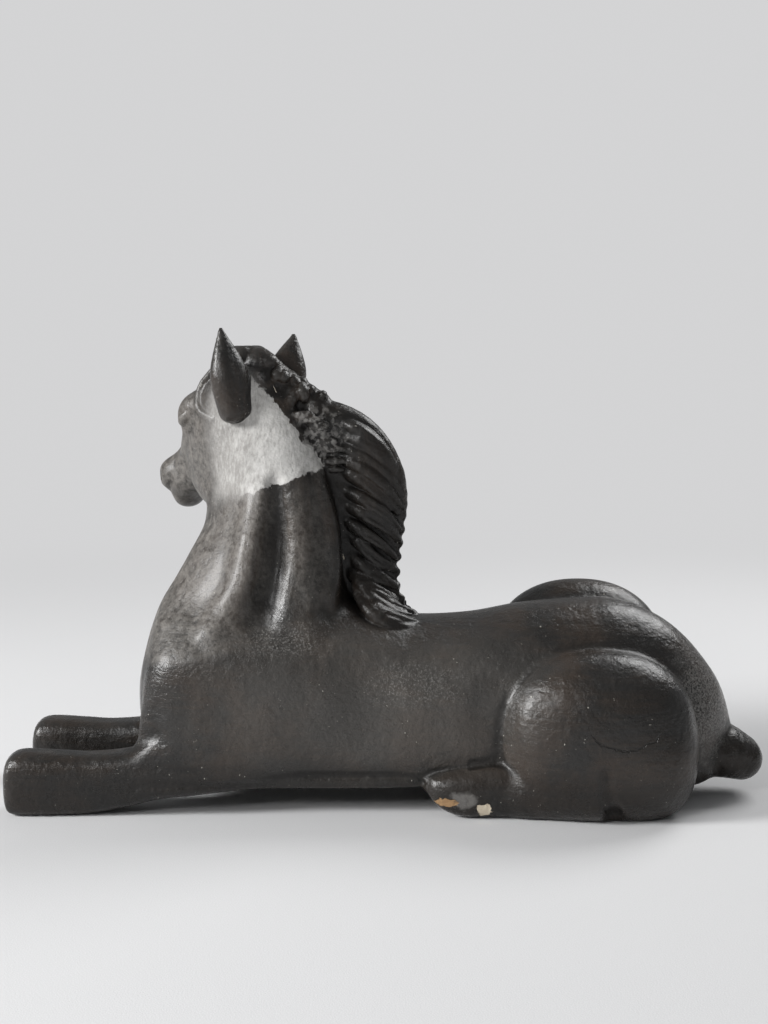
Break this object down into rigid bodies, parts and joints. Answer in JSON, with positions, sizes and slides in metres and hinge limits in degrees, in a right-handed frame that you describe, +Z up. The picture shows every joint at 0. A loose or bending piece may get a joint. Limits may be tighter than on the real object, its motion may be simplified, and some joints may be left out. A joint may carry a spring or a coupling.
{
  "type": "reclining foal statuette",
  "caption": "Reclining foal figurine with its head turned to its right, a dark bronze-coloured coat over hollow cast sections.",
  "frame": {"origin": "on the floor under the middle of the statuette's length and width", "axes": "-X the way the foal's body faces, -Y the foal's left side, +Z up"},
  "size_m": [0.56, 0.192, 0.3544],
  "materials": {
    "coat": "satin",
    "iron": "matte",
    "raw_plaster": "matte",
    "scrim": "matte"
  },
  "bodies": {
    "root": {"torso_shell": "coat", "hindquarters_shell": "coat", "neck_shell": "coat", "head_shell": "coat", "left_foreleg": "coat", "right_foreleg": "coat", "left_hind_foot": "coat", "right_hind_foot": "coat", "tail": "coat", "left_ear": "coat", "right_ear": "coat", "forelock": "coat", "mane_crest": "coat", "spine_rod": "iron", "neck_rod": "iron", "foreleg_rods": "iron", "hind_foot_dowels": "iron", "ear_dowels": "iron", "mane_dowels": "iron", "tail_dowel": "iron", "forelock_dowel": "iron", "barrel_beds": "raw_plaster", "neck_bed": "raw_plaster", "head_bed": "raw_plaster", "barrel_seam_scrim": "scrim", "neck_seam_scrim": "scrim", "head_seam_scrim": "scrim"}
  },
  "joints": []
}
